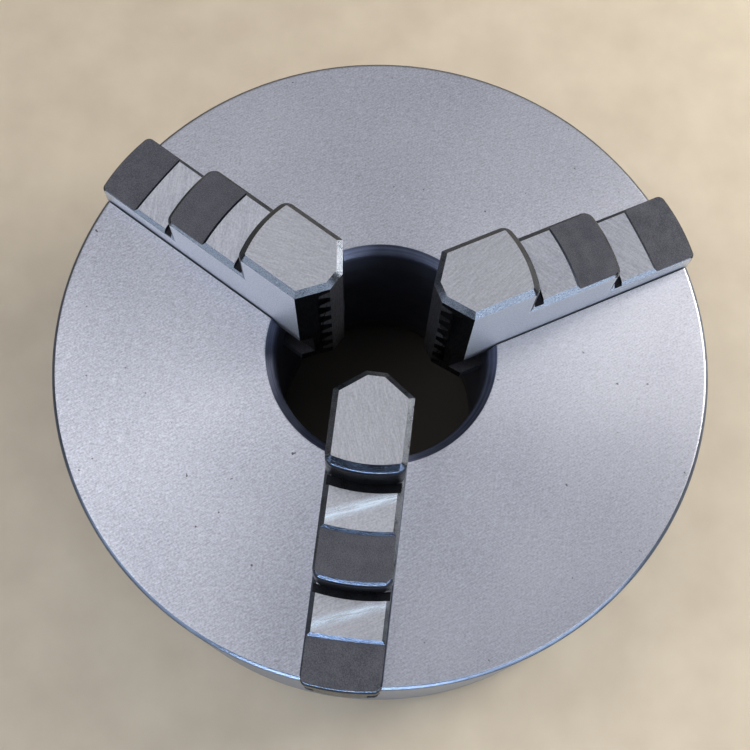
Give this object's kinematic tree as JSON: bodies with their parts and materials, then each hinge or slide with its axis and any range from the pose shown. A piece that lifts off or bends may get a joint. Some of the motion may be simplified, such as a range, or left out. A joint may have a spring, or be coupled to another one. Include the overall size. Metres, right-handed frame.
{
  "type": "lathe chuck",
  "caption": "Self-centring scroll lathe chuck: stepped outside jaws slide in radial slots of a round steel body, driven together by a key in a pinion at the rim.",
  "frame": {"origin": "centre of the chuck's back face", "axes": "+Z out of the front face along the spindle axis; jaw_1 lies along -Y and pinion_1 along +Y"},
  "size_m": [0.2, 0.2015, 0.1094],
  "materials": {
    "body_steel": "surface ground, fine matt grain",
    "jaw_steel": "hardened and blued, with ground tops and step seats",
    "hard_steel": "turned and hardened",
    "cover_iron": "turned",
    "screw_steel": "black oxide"
  },
  "bodies": {
    "body": {"chuck_body": "body_steel", "back_cover": "cover_iron", "pinion_pin_1": "hard_steel", "pinion_pin_2": "hard_steel", "pinion_pin_3": "hard_steel", "pin_plug_screw_1": "screw_steel", "pin_plug_screw_2": "screw_steel", "pin_plug_screw_3": "screw_steel", "cover_screw_1": "screw_steel", "cover_screw_2": "screw_steel", "cover_screw_3": "screw_steel", "cover_screw_4": "screw_steel", "cover_screw_5": "screw_steel", "cover_screw_6": "screw_steel"},
    "scroll": {"scroll_plate": "hard_steel"},
    "jaw_1_slider": {"jaw_1": "jaw_steel"},
    "jaw_2_slider": {"jaw_2": "jaw_steel"},
    "jaw_3_slider": {"jaw_3": "jaw_steel"},
    "pinion_1_shaft": {"pinion_1": "hard_steel"},
    "pinion_2_shaft": {"pinion_2": "hard_steel"},
    "pinion_3_shaft": {"pinion_3": "hard_steel"}
  },
  "joints": [
    {"name": "scroll_turn", "type": "hinge", "parent": "body", "child": "scroll", "pos_m": [0, 0, 0.045], "axis": [0, 0, 1], "range_deg": [-1168, 650]},
    {"name": "jaw_1_slide", "type": "slide", "parent": "body", "child": "jaw_1_slider", "axis": [0, -1, 0], "range_m": [-0.0145, 0.026]},
    {"name": "jaw_2_slide", "type": "slide", "parent": "body", "child": "jaw_2_slider", "axis": [0.866, 0.5, 0], "range_m": [-0.0145, 0.026]},
    {"name": "jaw_3_slide", "type": "slide", "parent": "body", "child": "jaw_3_slider", "axis": [-0.866, 0.5, 0], "range_m": [-0.0145, 0.026]},
    {"name": "pinion_1_turn", "type": "hinge", "parent": "body", "child": "pinion_1_shaft", "pos_m": [0, 0.08, 0.028], "axis": [0, 1, 0], "range_deg": [-4690, 8420]},
    {"name": "pinion_2_turn", "type": "hinge", "parent": "body", "child": "pinion_2_shaft", "pos_m": [0.06928, -0.04, 0.028], "axis": [0.866, -0.5, 0], "range_deg": [-4690, 8420]},
    {"name": "pinion_3_turn", "type": "hinge", "parent": "body", "child": "pinion_3_shaft", "pos_m": [-0.06928, -0.04, 0.028], "axis": [-0.866, -0.5, 0], "range_deg": [-4690, 8420]}
  ],
  "couplings": [
    {"joint": "jaw_1_slide", "follows": "scroll_turn", "m_per_rad": -0.0012732},
    {"joint": "jaw_2_slide", "follows": "scroll_turn", "m_per_rad": -0.0012732},
    {"joint": "jaw_3_slide", "follows": "scroll_turn", "m_per_rad": -0.0012732},
    {"joint": "pinion_1_turn", "follows": "scroll_turn", "ratio": -7.2},
    {"joint": "pinion_2_turn", "follows": "scroll_turn", "ratio": -7.2},
    {"joint": "pinion_3_turn", "follows": "scroll_turn", "ratio": -7.2}
  ]
}
